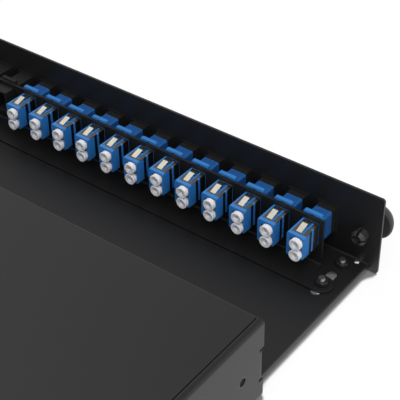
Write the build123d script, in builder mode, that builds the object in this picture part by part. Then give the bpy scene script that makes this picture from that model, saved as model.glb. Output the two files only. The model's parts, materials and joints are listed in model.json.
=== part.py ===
from build123d import *
import os

os.makedirs("parts", exist_ok=True)

# A one-unit sliding fibre patch panel, in millimetres. The front faces -Y, +Z is up and the origin is
# the middle of the chassis' front edge, on its underside. The drawer stands part open, as photographed.

# Sheet metal
sheet = 1.2
bend = 2.2
panel_width = 430.0

# How near to a place an edge must lie to be picked there
near = 0.01

# Chassis
chassis_height = 43.6
chassis_depth = 220.0
top_flange = 14.0
cover_inset = 3.0
cover_gap = 0.5
cover_lip = 5.0
cover_edge = 0.2
cover_tail = 11.0
cover_tab_width = 22.0
cover_screw_spread = 150.0
cover_screw_drop = 6.0

# Latch flanges at the front of the chassis walls, with a relief notch above and below
latch_flange_width = 17.0
latch_flange_height = 17.2
latch_flange_bottom = 11.2
notch_height = 1.6
notch_depth = 3.0

# Threaded inserts for rack ears, two in each side wall
ear_bore = 4.0
ear_insert_diameter = 5.4
ear_insert_flange = 8.0
ear_insert_length = 2.5
ear_hole_setback = 14.5
ear_hole_spacing = 30.0
ear_hole_height = 20.4

# Drawer
drawer_shown = 93.0
drawer_to_stop = 40.0
closing_gap = 0.3
slide_clearance = 0.25
tray_inset = 4.5
tray_length = 200.0
tray_flange = 3.2
tray_bend = 1.0
fascia_lift = 0.6
fascia_corner = 1.5
relief_inset = 10.0
relief_diameter = 2.8
relief_setback = 2.0
relief_slit = 0.8
stop_tab_width = 6.0
stop_tab_height = 10.0
stop_tab_inset = 13.0
stop_gap = 0.3

# Nylon slide rails on the chassis floor
rail_clearance = 0.4
rail_height = 12.0
rail_lip = 2.4
rail_lip_thickness = 1.2
rail_front_gap = 4.0
rail_rear_gap = 4.0
rail_peg_diameter = 4.0
rail_peg_margin = 15.0
peg_clearance = 0.05

# Adapter bracket
bracket_setback = 14.9
bracket_height = 26.5
bracket_margin = 7.0
foot_depth = 16.6
foot_clearance = 0.1
ear_radius = 5.6
bolt_inset = 14.4
bolt_diameter = 3.0
bolt_clearance = 0.3
bolt_head_diameter = 6.0
bolt_head_height = 1.6
bolt_end = 1.4
nut_width = 5.5
nut_height = 2.4
slot_length = 18.4
slot_lead = 2.1
slot_clearance = 0.8
earth_setback = 8.1

# Adapters
pitch = 16.2
row_end_room = 20.0
port_height = 17.6
body_width = 9.0
body_chamfer = 0.5
window_clearance = 0.25
rear_length = 12.7
front_length = 9.8
flange_width = 9.6
flange_height = 20.6
flange_thickness = 2.0
flange_hole = 2.4
flange_hole_inset = 2.1
port_pitch = 6.25
port_size = 4.6
port_wall = 1.1
port_side_wall = 0.25
rear_port_depth = 7.0
front_port_depth = 6.5
key_width = 2.4
key_depth = 1.7
fascia_window_clearance = 0.4

# Alignment sleeves
sleeve_diameter = 1.7
sleeve_bore = 1.25
sleeve_length = 9.8
sleeve_clearance = 0.05

# Spring clips around the adapters
clip_sheet = 0.35
clip_frame = 1.3
clip_tail = 1.9
clip_end_frame = 1.0
clip_band = 7.5
clip_band_start = 0.1
clip_seat = 0.1
rib_start = 4.2
rib_length = 1.4
rib_depth = 0.9
rib_gap = 0.15
tongue_shift = 0.7
tongue_width = 2.9
tongue_rise = 1.6
tongue_slot = 0.5
tongue_wide_slot = 1.2
tongue_gap = 1.2
lug_start = 1.0
lug_length = 2.2
lug_rise = 0.8
pocket_length = 2.0
pocket_depth = 1.6

# Dust caps
cap_gap = 0.15
cap_rim_width = 0.55
cap_seat = 0.2
cap_stem_length = 5.0
cap_stem_clearance = 0.1
cap_reach = 3.1
cap_dish_depth = 1.1

# Plugs that fill the fascia's windows
blank_depth = 6.0
blank_wall = 1.2
plug_entry = 0.4

# Push and pull latches
latch_inset = 9.5
latch_height = 20.4
latch_travel = 7.0
grommet_diameter = 7.2
grommet_barb = 7.8
grommet_barb_length = 1.6
grommet_reach = 5.5
grommet_bore = 4.4
grommet_collar = 15.0
grommet_collar_thickness = 2.0
grommet_slit = 1.2
grommet_clearance = 0.3
latch_hole_clearance = 0.5
plunger_clearance = 0.3
knob_diameter = 18.2
knob_height = 9.0
knob_edge = 1.6
knob_round = 1.0
knob_gap = 0.3
plunger_reach = 11.0

# Cable glands in the rear wall
gland_spread = 240.0
gland_height = 17.5
gland_thread = 20.0
gland_bore = 12.0
gland_hex = 24.0
gland_hex_length = 5.0
gland_inner_length = 9.0
gland_neck = 18.0
gland_neck_length = 6.0
dome_length = 14.0
dome_mouth = 15.0
locknut_width = 26.0
locknut_length = 4.0
thread_clearance = 0.1

# Places worked out from the sizes above
half_width = panel_width / 2
shelf_top = chassis_height - sheet
inner_half = half_width - sheet
tray_half = half_width - tray_inset
tray_top = sheet + slide_clearance + tray_flange
tray_under = tray_top - sheet
fascia_inner_y = -drawer_shown - closing_gap
fascia_front_y = fascia_inner_y - sheet
tray_rear_y = fascia_inner_y + tray_length
fascia_middle = fascia_lift + chassis_height / 2
relief_x = half_width - relief_inset
body_height = port_pitch + port_size + 2 * port_wall
fascia_window_width = body_width + 2 * fascia_window_clearance
fascia_window_height = body_height + 2 * fascia_window_clearance
plate_rear_y = fascia_inner_y + bracket_setback
plate_front_y = plate_rear_y - sheet
foot_bottom = tray_top + foot_clearance
foot_top = foot_bottom + sheet
bracket_top = foot_bottom + bracket_height
port_z = tray_top + port_height
half_row = [(number + 0.5) * pitch for number in range(int((half_width - row_end_room) / pitch))]
loaded_places = [-x for x in reversed(half_row)]
blank_places = half_row
places = loaded_places + blank_places
plate_half = half_row[-1] + bracket_margin
bolt_x = half_width - bolt_inset
bolt_y = plate_rear_y + foot_depth - ear_radius
latch_x = half_width - latch_inset
latch_flange_middle = latch_flange_bottom + latch_flange_height / 2
wall_hole_ys = (ear_hole_setback, ear_hole_setback + ear_hole_spacing)
stop_y = sheet + drawer_to_stop + stop_gap
stop_x = half_width - stop_tab_inset
gland_xs = (-gland_spread / 2, gland_spread / 2)
cover_screw_xs = (-cover_screw_spread, 0, cover_screw_spread)
rail_length = chassis_depth - sheet - rail_front_gap - rail_rear_gap
rail_peg_x = (tray_half + rail_clearance + inner_half) / 2
rail_peg_first = rail_front_gap + rail_peg_margin
rail_peg_last = rail_front_gap + rail_length - rail_peg_margin
rail_peg_ys = (rail_peg_first, (rail_peg_first + rail_peg_last) / 2, rail_peg_last)
rail_pegs = [(side * rail_peg_x, y) for side in (-1, 1) for y in rail_peg_ys]
screw_z = shelf_top - cover_screw_drop


# Chassis: floor, side walls and rear wall folded from one sheet. The top of each wall is turned in and
# set down into a shelf, so that the cover lies flush.
with BuildPart() as chassis_body:
    with BuildSketch(Plane.XZ):
        with Locations((0, chassis_height / 2)):
            RectangleRounded(panel_width, chassis_height, bend)
            RectangleRounded(2 * inner_half, chassis_height - 2 * sheet, bend - sheet, mode=Mode.SUBTRACT)
        with Locations((0, chassis_height)):
            Rectangle(panel_width - 2 * cover_inset, 2 * sheet, mode=Mode.SUBTRACT)
        for side in (-1, 1):
            with Locations((side * (half_width - (top_flange + sheet) / 2), shelf_top - sheet / 2)):
                Rectangle(top_flange - sheet, sheet)
    extrude(amount=-chassis_depth)
    # Rear wall with the two cable entries and the cover's screw holes
    with BuildSketch(Plane.XZ.offset(-(chassis_depth - sheet))):
        with Locations((0, shelf_top / 2)):
            RectangleRounded(panel_width, shelf_top, bend)
        with Locations(*[(x, gland_height) for x in gland_xs]):
            Circle(gland_thread / 2 + thread_clearance, mode=Mode.SUBTRACT)
        with Locations(*[(x, screw_z) for x in cover_screw_xs]):
            Circle(bolt_diameter / 2 + thread_clearance, mode=Mode.SUBTRACT)
    extrude(amount=-sheet)
    # Latch flanges turned in at the front, each with the hole that its latch snaps into
    with BuildSketch(Plane.XZ):
        for side in (-1, 1):
            with Locations((side * (half_width - latch_flange_width / 2), latch_flange_middle)):
                Rectangle(latch_flange_width, latch_flange_height)
            with Locations((side * latch_x, latch_height)):
                Circle(grommet_barb / 2 + latch_hole_clearance, mode=Mode.SUBTRACT)
    extrude(amount=-sheet)
    # Relief notches above and below the fold of each latch flange
    with BuildSketch(Plane.YZ.offset(-half_width)):
        for level in (latch_flange_bottom, latch_flange_bottom + latch_flange_height):
            with Locations((notch_depth / 2, level)):
                Rectangle(notch_depth, notch_height)
    extrude(amount=panel_width, mode=Mode.SUBTRACT)
    fold = chassis_body.edges().filter_by(Axis.Z).filter_by_position(Axis.Y, -near, near)
    fold = fold.filter_by_position(Axis.Z, latch_flange_bottom, latch_flange_bottom + latch_flange_height)
    fillet(fold.group_by(Axis.X)[0] + fold.group_by(Axis.X)[-1], radius=bend)
    # Holes for the threaded inserts
    with BuildSketch(Plane.YZ.offset(-half_width)):
        with Locations(*[(y, ear_hole_height) for y in wall_hole_ys]):
            Circle(ear_insert_diameter / 2)
    extrude(amount=panel_width, mode=Mode.SUBTRACT)
    # Holes for the pegs of the slide rails
    with BuildSketch(Plane.XY):
        with Locations(*rail_pegs):
            Circle(rail_peg_diameter / 2 + peg_clearance)
    extrude(amount=sheet, mode=Mode.SUBTRACT)

chassis_body.part.label = "chassis_body"
export_step(chassis_body.part, "parts/chassis_body.step")

# Top cover: a plate on the wall shelves, with a lip at the front and screwed tabs at the rear
with BuildPart() as top_cover:
    with BuildSketch(Plane.XY.offset(shelf_top)):
        with Locations((0, chassis_depth / 2)):
            Rectangle(panel_width - 2 * cover_inset - 2 * cover_gap, chassis_depth)
    extrude(amount=sheet)
    with BuildSketch(Plane.XY.offset(shelf_top)):
        with Locations((0, sheet / 2)):
            Rectangle(panel_width - 2 * top_flange - 2 * cover_inset, sheet)
    extrude(amount=-cover_lip)
    with BuildSketch(Plane.XZ.offset(-chassis_depth)):
        with Locations(*[(x, shelf_top + (sheet - cover_tail) / 2) for x in cover_screw_xs]):
            Rectangle(cover_tab_width, cover_tail + sheet)
        with Locations(*[(x, screw_z) for x in cover_screw_xs]):
            Circle(bolt_diameter / 2 + bolt_clearance, mode=Mode.SUBTRACT)
    extrude(amount=-sheet)
    cover_fold = top_cover.edges().filter_by(Axis.X).group_by(Axis.Z)[-1]
    fillet(cover_fold.group_by(Axis.Y)[0] + cover_fold.group_by(Axis.Y)[-1], radius=sheet - cover_edge)

top_cover.part.label = "top_cover"
export_step(top_cover.part, "parts/top_cover.step")

# Screws that hold the cover's tabs to the rear wall
with BuildPart() as cover_screws:
    with BuildSketch(Plane.XZ.offset(-(chassis_depth + sheet))):
        with Locations(*[(x, screw_z) for x in cover_screw_xs]):
            Circle(bolt_head_diameter / 2)
    extrude(amount=-bolt_head_height)
    with BuildSketch(Plane.XZ.offset(-(chassis_depth + sheet))):
        with Locations(*[(x, screw_z) for x in cover_screw_xs]):
            Circle(bolt_diameter / 2)
    extrude(amount=3 * sheet)

cover_screws.part.label = "cover_screws"
export_step(cover_screws.part, "parts/cover_screws.step")

# Threaded inserts pressed into the side walls from inside
with BuildPart() as ear_inserts:
    for side in (-1, 1):
        with BuildSketch(Plane.YZ.offset(side * half_width)):
            with Locations(*[(y, ear_hole_height) for y in wall_hole_ys]):
                Circle(ear_insert_diameter / 2)
                Circle(ear_bore / 2, mode=Mode.SUBTRACT)
        extrude(amount=-side * sheet)
        with BuildSketch(Plane.YZ.offset(side * inner_half)):
            with Locations(*[(y, ear_hole_height) for y in wall_hole_ys]):
                Circle(ear_insert_flange / 2)
                Circle(ear_bore / 2, mode=Mode.SUBTRACT)
        extrude(amount=-side * ear_insert_length)

ear_inserts.part.label = "ear_inserts"
export_step(ear_inserts.part, "parts/ear_inserts.step")

# Slide rails: an angle in nylon beside and over each edge of the tray, pegged into the floor
for side, name in ((-1, "left"), (1, "right")):
    with BuildPart() as slide_rail:
        with BuildSketch(Plane.XZ.offset(-rail_front_gap)):
            with BuildLine():
                Polyline(
                    (side * inner_half, bend),
                    (side * inner_half, sheet + rail_height),
                    (side * (tray_half + rail_clearance), sheet + rail_height),
                    (side * (tray_half + rail_clearance), tray_top + slide_clearance + rail_lip_thickness),
                    (side * (tray_half - rail_lip), tray_top + slide_clearance + rail_lip_thickness),
                    (side * (tray_half - rail_lip), tray_top + slide_clearance),
                    (side * (tray_half + rail_clearance), tray_top + slide_clearance),
                    (side * (tray_half + rail_clearance), sheet),
                    (side * (inner_half - bend + sheet), sheet),
                    close=True,
                )
            make_face()
        extrude(amount=-rail_length)
        with BuildSketch(Plane.XY.offset(sheet)):
            with Locations(*[(x, y) for x, y in rail_pegs if x * side > 0]):
                Circle(rail_peg_diameter / 2)
        extrude(amount=-sheet)
        ends = slide_rail.edges().filter_by(Axis.Z).group_by(Axis.Y)[0]
        chamfer(ends.group_by(Axis.X)[-1 if side < 0 else 0], length=rail_lip / 2)
    slide_rail.part.label = f"slide_rail_{name}"
    export_step(slide_rail.part, f"parts/slide_rail_{name}.step")

# Drawer tray: floor, side flanges turned down and fascia turned up, folded from one sheet
with BuildPart() as drawer_tray:
    with BuildSketch(Plane.XZ.offset(-fascia_inner_y)):
        with Locations((0, tray_top - tray_flange / 2)):
            Rectangle(2 * tray_half, tray_flange)
        with Locations((0, tray_under - tray_flange / 2)):
            Rectangle(2 * (tray_half - sheet), tray_flange, mode=Mode.SUBTRACT)
    extrude(amount=-tray_length)
    sides = drawer_tray.edges().filter_by(Axis.Y).group_by(Axis.Z)[-1]
    fillet(sides, radius=tray_bend)
    # Fascia with a window in front of each adapter position and a hole for each latch
    with BuildSketch(Plane.XZ.offset(-fascia_inner_y)):
        with Locations((0, fascia_middle)):
            RectangleRounded(panel_width, chassis_height, fascia_corner)
        with Locations((0, fascia_lift)):
            Rectangle(2 * relief_x, 2 * (tray_under - fascia_lift), mode=Mode.SUBTRACT)
        with Locations(*[(x, port_z) for x in places]):
            Rectangle(fascia_window_width, fascia_window_height, mode=Mode.SUBTRACT)
        with Locations((-latch_x, latch_height), (latch_x, latch_height)):
            Circle(grommet_diameter / 2 + grommet_clearance, mode=Mode.SUBTRACT)
    extrude(amount=sheet)
    # Fold between floor and fascia
    folds = drawer_tray.edges().filter_by(Axis.X)
    inside = folds.filter_by_position(Axis.Y, fascia_inner_y - near, fascia_inner_y + near)
    fillet(inside.filter_by_position(Axis.Z, tray_top - near, tray_top + near), radius=bend - sheet)
    folds = drawer_tray.edges().filter_by(Axis.X)
    outside = folds.filter_by_position(Axis.Y, fascia_front_y - near, fascia_front_y + near)
    fillet(outside.filter_by_position(Axis.Z, tray_under - near, tray_under + near), radius=bend - sheet)
    # At each end of the fold a relief hole, and a slit that frees the corner of the floor
    for side in (-1, 1):
        with BuildSketch(Plane.XY.offset(tray_top)):
            with Locations((side * relief_x, fascia_inner_y + relief_setback)):
                Circle(relief_diameter / 2)
        extrude(amount=-sheet, mode=Mode.SUBTRACT)
        with BuildSketch(Plane.XY.offset(tray_top + bend)):
            with Locations((side * (relief_x + half_width) / 2, fascia_inner_y + relief_slit / 2)):
                Rectangle(half_width - relief_x, relief_slit)
        extrude(amount=-tray_top - bend, mode=Mode.SUBTRACT)
    # Slots that let the bracket slide, and the earth stud's hole
    with BuildSketch(Plane.XY.offset(tray_top)):
        with Locations((-bolt_x, bolt_y - slot_lead), (bolt_x, bolt_y - slot_lead)):
            SlotOverall(slot_length, bolt_diameter + 2 * slot_clearance, rotation=90)
        with Locations((-bolt_x, fascia_inner_y + earth_setback)):
            Circle(bolt_diameter / 2 + thread_clearance)
    extrude(amount=-sheet, mode=Mode.SUBTRACT)
    # Stop tabs lanced from the floor, which catch behind the latch flanges
    with BuildSketch(Plane.XY.offset(tray_under)):
        for side in (-1, 1):
            with Locations((side * stop_x, stop_y + sheet / 2)):
                Rectangle(stop_tab_width, sheet)
    extrude(amount=sheet + stop_tab_height)
    with BuildSketch(Plane.XY.offset(tray_top)):
        for side in (-1, 1):
            with Locations((side * stop_x, stop_y + sheet + stop_tab_height / 2)):
                Rectangle(stop_tab_width + sheet, stop_tab_height)
    extrude(amount=-sheet, mode=Mode.SUBTRACT)

drawer_tray.part.label = "drawer_tray"
export_step(drawer_tray.part, "parts/drawer_tray.step")

# Earth stud near the fascia: a screw through the floor, and its nut
with BuildPart() as earth_stud:
    with BuildSketch(Plane.XY.offset(tray_under)):
        with Locations((-bolt_x, fascia_inner_y + earth_setback)):
            Circle(bolt_head_diameter / 2)
    extrude(amount=-bolt_head_height)
    with BuildSketch(Plane.XY.offset(tray_under)):
        with Locations((-bolt_x, fascia_inner_y + earth_setback)):
            Circle(bolt_diameter / 2)
    extrude(amount=sheet + nut_height + bolt_end)

earth_stud.part.label = "earth_stud"
export_step(earth_stud.part, "parts/earth_stud.step")

with BuildPart() as earth_nut:
    with BuildSketch(Plane.XY.offset(tray_top)):
        with Locations((-bolt_x, fascia_inner_y + earth_setback)):
            RegularPolygon(nut_width / 2, 6, major_radius=False)
            Circle(bolt_diameter / 2 + thread_clearance, mode=Mode.SUBTRACT)
    extrude(amount=nut_height)

earth_nut.part.label = "earth_nut"
export_step(earth_nut.part, "parts/earth_nut.step")

# Adapter bracket: an upright plate with 24 windows on a foot that is bolted through the slots
with BuildPart() as adapter_bracket:
    with BuildSketch(Plane.YZ.offset(-plate_half)):
        with Locations(((plate_front_y + plate_rear_y) / 2, (foot_bottom + bracket_top) / 2)):
            Rectangle(sheet, bracket_height)
        with Locations((plate_front_y + (foot_depth + sheet) / 2, foot_bottom + sheet / 2)):
            Rectangle(foot_depth + sheet, sheet)
    extrude(amount=2 * plate_half)
    edges = adapter_bracket.edges().filter_by(Axis.X)
    fold_inside = edges.filter_by_position(Axis.Y, plate_rear_y - near, plate_rear_y + near)
    fillet(fold_inside.group_by(Axis.Z)[0], radius=bend - sheet)
    edges = adapter_bracket.edges().filter_by(Axis.X)
    fillet(edges.group_by(Axis.Z)[0].group_by(Axis.Y)[0], radius=bend)
    # Rounded ears carry the bolts past both ends of the plate
    with BuildSketch(Plane.XY.offset(foot_bottom)):
        for side in (-1, 1):
            with Locations((side * bolt_x, bolt_y)):
                Circle(ear_radius)
            with Locations((side * (plate_half - ear_radius + bolt_x) / 2, bolt_y)):
                Rectangle(bolt_x - plate_half + ear_radius, 2 * ear_radius)
    extrude(amount=sheet)
    with BuildSketch(Plane.XY.offset(foot_bottom)):
        with Locations((-bolt_x, bolt_y), (bolt_x, bolt_y)):
            Circle(bolt_diameter / 2 + thread_clearance)
    extrude(amount=sheet, mode=Mode.SUBTRACT)
    with BuildSketch(Plane.XZ.offset(-plate_rear_y)):
        with Locations(*[(x, port_z) for x in places]):
            Rectangle(body_width + 2 * window_clearance, body_height + 2 * window_clearance)
    extrude(amount=sheet, mode=Mode.SUBTRACT)

adapter_bracket.part.label = "adapter_bracket"
export_step(adapter_bracket.part, "parts/adapter_bracket.step")

# Bolts and nuts that clamp the bracket's ears to the tray
with BuildPart() as bracket_bolts:
    with BuildSketch(Plane.XY.offset(tray_under - foot_clearance)):
        with Locations((-bolt_x, bolt_y), (bolt_x, bolt_y)):
            Circle(bolt_head_diameter / 2)
    extrude(amount=-bolt_head_height)
    with BuildSketch(Plane.XY.offset(tray_under - foot_clearance)):
        with Locations((-bolt_x, bolt_y), (bolt_x, bolt_y)):
            Circle(bolt_diameter / 2)
    extrude(amount=foot_top - tray_under + foot_clearance + nut_height + bolt_end)

bracket_bolts.part.label = "bracket_bolts"
export_step(bracket_bolts.part, "parts/bracket_bolts.step")

with BuildPart() as bracket_nuts:
    with BuildSketch(Plane.XY.offset(foot_top)):
        with Locations((-bolt_x, bolt_y), (bolt_x, bolt_y)):
            RegularPolygon(nut_width / 2, 6, major_radius=False)
            Circle(bolt_diameter / 2 + thread_clearance, mode=Mode.SUBTRACT)
    extrude(amount=nut_height)

bracket_nuts.part.label = "bracket_nuts"
export_step(bracket_nuts.part, "parts/bracket_nuts.step")

# One adapter, about the point where the axis of its port pair's middle meets the plate's rear face.
# The flange lies on the front of the plate and both ends have two stacked ports with latch keyways.
front_end_y = -sheet - front_length
plug_front_y = -bracket_setback - plug_entry
port_offset = body_width / 2 - clip_sheet - port_side_wall - port_size / 2
ports = [(-port_offset, -port_pitch / 2), (-port_offset, port_pitch / 2)]
key_x = -port_offset + port_size / 2 + key_depth / 2
keys = [(key_x, -port_pitch / 2), (key_x, port_pitch / 2)]
flange_holes = [(0, -flange_height / 2 + flange_hole_inset), (0, flange_height / 2 - flange_hole_inset)]
clip_width = body_width - clip_frame
clip_length = rear_length - clip_tail
clip_x = -clip_frame / 2
clip_shelf = body_height / 2 - clip_sheet
rib_middle = rib_start + rib_length / 2
tongue_x = clip_x + tongue_shift
tongue_start = lug_start + lug_length + tongue_gap
tongue_root = clip_length - clip_end_frame
window_low_x = tongue_x - tongue_width / 2 - tongue_wide_slot
window_high_x = tongue_x + tongue_width / 2 + tongue_slot

with BuildPart() as adapter_form:
    with BuildSketch(Plane.XZ.offset(-rear_length)) as body_outline:
        Rectangle(body_width, body_height)
        chamfer(body_outline.vertices(), length=body_chamfer)
    extrude(amount=rear_length - front_end_y)
    with BuildSketch(Plane.XZ.offset(sheet)) as flange_outline:
        Rectangle(flange_width, flange_height)
        chamfer(flange_outline.vertices(), length=body_chamfer)
        with Locations(*flange_holes):
            Circle(flange_hole / 2, mode=Mode.SUBTRACT)
    extrude(amount=flange_thickness)
    # Ports at both ends, each with the keyway for the plug's latch
    with BuildSketch(Plane.XZ.offset(-rear_length)):
        with Locations(*ports):
            Rectangle(port_size, port_size)
        with Locations(*keys):
            Rectangle(key_depth, key_width)
    extrude(amount=rear_port_depth, mode=Mode.SUBTRACT)
    with BuildSketch(Plane.XZ.offset(-front_end_y)):
        with Locations(*ports):
            Rectangle(port_size, port_size)
        with Locations(*keys):
            Rectangle(key_depth, key_width)
    extrude(amount=-front_port_depth, mode=Mode.SUBTRACT)
    with BuildSketch(Plane.XZ.offset(-rear_length)):
        with Locations(*ports):
            Circle(sleeve_diameter / 2 + sleeve_clearance)
    extrude(amount=rear_length - front_end_y, mode=Mode.SUBTRACT)
    # Shelves and a channel that the spring clip lies in, a rib left standing in the channel, and a pocket
    # below the free ends of the tongue and the lug
    for level in (-1, 1):
        with BuildSketch(Plane.XY.offset(level * clip_shelf)):
            with Locations((clip_x, clip_length / 2)):
                Rectangle(clip_width, clip_length)
            with Locations((-body_width / 2, rib_middle)):
                Rectangle(2 * rib_depth, rib_length, mode=Mode.SUBTRACT)
        extrude(amount=level * clip_sheet, mode=Mode.SUBTRACT)
        with BuildSketch(Plane.XY.offset(level * clip_shelf)):
            with Locations((tongue_x, tongue_start - tongue_gap / 2)):
                Rectangle(tongue_width, pocket_length)
        extrude(amount=-level * pocket_depth, mode=Mode.SUBTRACT)
    with BuildSketch(Plane.YZ.offset(-body_width / 2)):
        with Locations((clip_band_start + clip_band / 2, 0)):
            Rectangle(clip_band, body_height)
        with Locations((rib_middle, 0)):
            Rectangle(rib_length, body_height, mode=Mode.SUBTRACT)
    extrude(amount=clip_sheet, mode=Mode.SUBTRACT)

# Spring clip: a plate above and below, joined by two legs that stand either side of the body's rib. A
# tongue and a lug are lanced from each plate and bent outwards, to hold the adapter behind the panel.
with BuildPart() as clip_form:
    with BuildSketch(Plane.YZ.offset(-body_width / 2)):
        with Locations((clip_band_start + clip_band / 2, 0)):
            Rectangle(clip_band, body_height)
        with Locations((rib_middle, 0)):
            Rectangle(rib_length + 2 * rib_gap, body_height, mode=Mode.SUBTRACT)
    extrude(amount=clip_sheet)
    for level in (-1, 1):
        with BuildSketch(Plane.XY.offset(level * clip_shelf)):
            with Locations((clip_x, (clip_length + clip_seat) / 2)):
                Rectangle(clip_width, clip_length - clip_seat)
            with Locations(((window_low_x + window_high_x) / 2, (lug_start + tongue_root) / 2)):
                Rectangle(window_high_x - window_low_x, tongue_root - lug_start, mode=Mode.SUBTRACT)
            with Locations((-body_width / 2, rib_middle)):
                Rectangle(2 * (rib_depth + rib_gap), rib_length + 2 * rib_gap, mode=Mode.SUBTRACT)
        extrude(amount=level * clip_sheet)
        lug_end = lug_start + lug_length
        for root, end, rise in ((tongue_root, tongue_start, tongue_rise), (lug_start, lug_end, lug_rise)):
            with BuildSketch(Plane.YZ.offset(tongue_x - tongue_width / 2)):
                with BuildLine():
                    Polyline(
                        (root, level * clip_shelf),
                        (end, level * (clip_shelf + rise)),
                        (end, level * (clip_shelf + rise + clip_sheet)),
                        (root, level * (clip_shelf + clip_sheet)),
                        close=True,
                    )
                make_face()
            extrude(amount=tongue_width)

# Dust cap: a square stem that fits the port, and a flared rim with a dished face
cap_rim_radius = (port_pitch - cap_gap) / 2
cap_neck_radius = port_size / 2 + cap_seat
with BuildPart() as cap_form:
    with BuildSketch(Plane.XZ):
        Rectangle(port_size - 2 * cap_stem_clearance, port_size - 2 * cap_stem_clearance)
    extrude(amount=cap_stem_length)
    with BuildSketch(Plane.XY):
        with BuildLine():
            Polyline(
                (0, 0),
                (cap_neck_radius, 0),
                (cap_rim_radius, cap_reach),
                (cap_rim_radius - cap_rim_width, cap_reach),
                (0, cap_reach - cap_dish_depth),
                close=True,
            )
        make_face()
    revolve(axis=Axis.Y)

# Alignment sleeve, about the middle of its length
with BuildPart() as sleeve_form:
    with BuildSketch(Plane.XZ.offset(-sleeve_length / 2)):
        Circle(sleeve_diameter / 2)
        Circle(sleeve_bore / 2, mode=Mode.SUBTRACT)
    extrude(amount=sleeve_length)

# Blanking plug for an unused position, hollow from the rear
with BuildPart() as blank_form:
    with BuildSketch(Plane.XZ.offset(sheet)):
        Rectangle(flange_width, flange_height)
    extrude(amount=flange_thickness)
    with BuildSketch(Plane.XZ.offset(-blank_depth)):
        Rectangle(body_width, body_height)
    extrude(amount=blank_depth - plug_front_y)
    with BuildSketch(Plane.XZ.offset(-blank_depth)):
        Rectangle(body_width - 2 * blank_wall, body_height - 2 * blank_wall)
    extrude(amount=blank_depth - plug_front_y - blank_wall, mode=Mode.SUBTRACT)

# Twin dust plug for the front of a loaded adapter, with a stem in each port
with BuildPart() as front_plug_form:
    with BuildSketch(Plane.XZ.offset(-front_end_y)):
        Rectangle(body_width, body_height)
    extrude(amount=front_end_y - plug_front_y)
    with BuildSketch(Plane.XZ.offset(-front_end_y)):
        with Locations(*ports):
            Rectangle(port_size - 2 * cap_stem_clearance, port_size - 2 * cap_stem_clearance)
    extrude(amount=-cap_stem_length)

# The repeated pieces are set along the bracket
sleeve_middle_y = (rear_length - rear_port_depth + front_end_y + front_port_depth) / 2
sleeves = []
for number, place_x in enumerate(loaded_places, start=1):
    seat = Location((place_x, plate_rear_y, port_z))
    adapter = adapter_form.part.moved(seat)
    adapter.label = f"adapter_{number}"
    export_step(adapter, f"parts/adapter_{number}.step")
    clip = clip_form.part.moved(seat)
    clip.label = f"adapter_clip_{number}"
    export_step(clip, f"parts/adapter_clip_{number}.step")
    port_seats = [seat * Location((x, 0, z)) for x, z in ports]
    caps = [cap_form.part.moved(port * Location((0, rear_length, 0))) for port in port_seats]
    caps = Compound(children=caps, label=f"dust_caps_{number}")
    export_step(caps, f"parts/dust_caps_{number}.step")
    sleeves += [sleeve_form.part.moved(port * Location((0, sleeve_middle_y, 0))) for port in port_seats]

alignment_sleeves = Compound(children=sleeves, label="alignment_sleeves")
export_step(alignment_sleeves, "parts/alignment_sleeves.step")

plugs = [blank_form.part.moved(Location((x, plate_rear_y, port_z))) for x in blank_places]
plugs += [front_plug_form.part.moved(Location((x, plate_rear_y, port_z))) for x in loaded_places]
blanking_plugs = Compound(children=plugs, label="blanking_plugs")
export_step(blanking_plugs, "parts/blanking_plugs.step")

# Latches: a split grommet snapped into the fascia, and a plunger that spreads its fingers.
# The plungers stand pulled out, as they are while the drawer is open.
finger_end_y = fascia_inner_y + grommet_reach
collar_y = fascia_front_y - grommet_collar_thickness
knob_back_y = collar_y - knob_gap - latch_travel
knob_front_y = knob_back_y - knob_height
plunger_end_y = knob_back_y + plunger_reach
for side, name in ((-1, "left"), (1, "right")):
    latch_plane = Plane(origin=(side * latch_x, 0, latch_height), x_dir=(1, 0, 0), z_dir=(0, 0, 1))
    latch_axis = Axis((side * latch_x, 0, latch_height), (0, 1, 0))
    with BuildPart() as grommet:
        with BuildSketch(latch_plane):
            with BuildLine():
                Polyline(
                    (grommet_bore / 2, collar_y),
                    (grommet_collar / 2 - grommet_collar_thickness / 2, collar_y),
                    (grommet_collar / 2, fascia_front_y),
                    (grommet_diameter / 2, fascia_front_y),
                    (grommet_diameter / 2, finger_end_y - grommet_barb_length),
                    (grommet_barb / 2, finger_end_y - grommet_barb_length),
                    (grommet_bore / 2 + grommet_clearance, finger_end_y),
                    (grommet_bore / 2, finger_end_y),
                    close=True,
                )
            make_face()
        revolve(axis=latch_axis)
        # Two crossed slits part the barrel into four fingers
        for slit_width, slit_height in ((grommet_slit, grommet_collar), (grommet_collar, grommet_slit)):
            with BuildSketch(Plane.XZ.offset(-finger_end_y)):
                with Locations((side * latch_x, latch_height)):
                    Rectangle(slit_width, slit_height)
            extrude(amount=grommet_reach, mode=Mode.SUBTRACT)
    grommet.part.label = f"latch_grommet_{name}"
    export_step(grommet.part, f"parts/latch_grommet_{name}.step")
    with BuildPart() as plunger:
        with BuildSketch(latch_plane):
            with BuildLine():
                Polyline(
                    (0, knob_front_y),
                    (0, plunger_end_y),
                    (grommet_bore / 2 - plunger_clearance, plunger_end_y),
                    (grommet_bore / 2 - plunger_clearance, knob_back_y),
                    (knob_diameter / 2 - knob_round, knob_back_y),
                )
                TangentArc(
                    (knob_diameter / 2 - knob_round, knob_back_y),
                    (knob_diameter / 2, knob_back_y - knob_round),
                    tangent=(1, 0),
                )
                Line((knob_diameter / 2, knob_back_y - knob_round), (knob_diameter / 2, knob_back_y - knob_edge))
                TangentArc(
                    (0, knob_front_y),
                    (knob_diameter / 2, knob_back_y - knob_edge),
                    tangent=(1, 0),
                )
            make_face()
        revolve(axis=latch_axis)
    plunger.part.label = f"latch_plunger_{name}"
    export_step(plunger.part, f"parts/latch_plunger_{name}.step")

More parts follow.
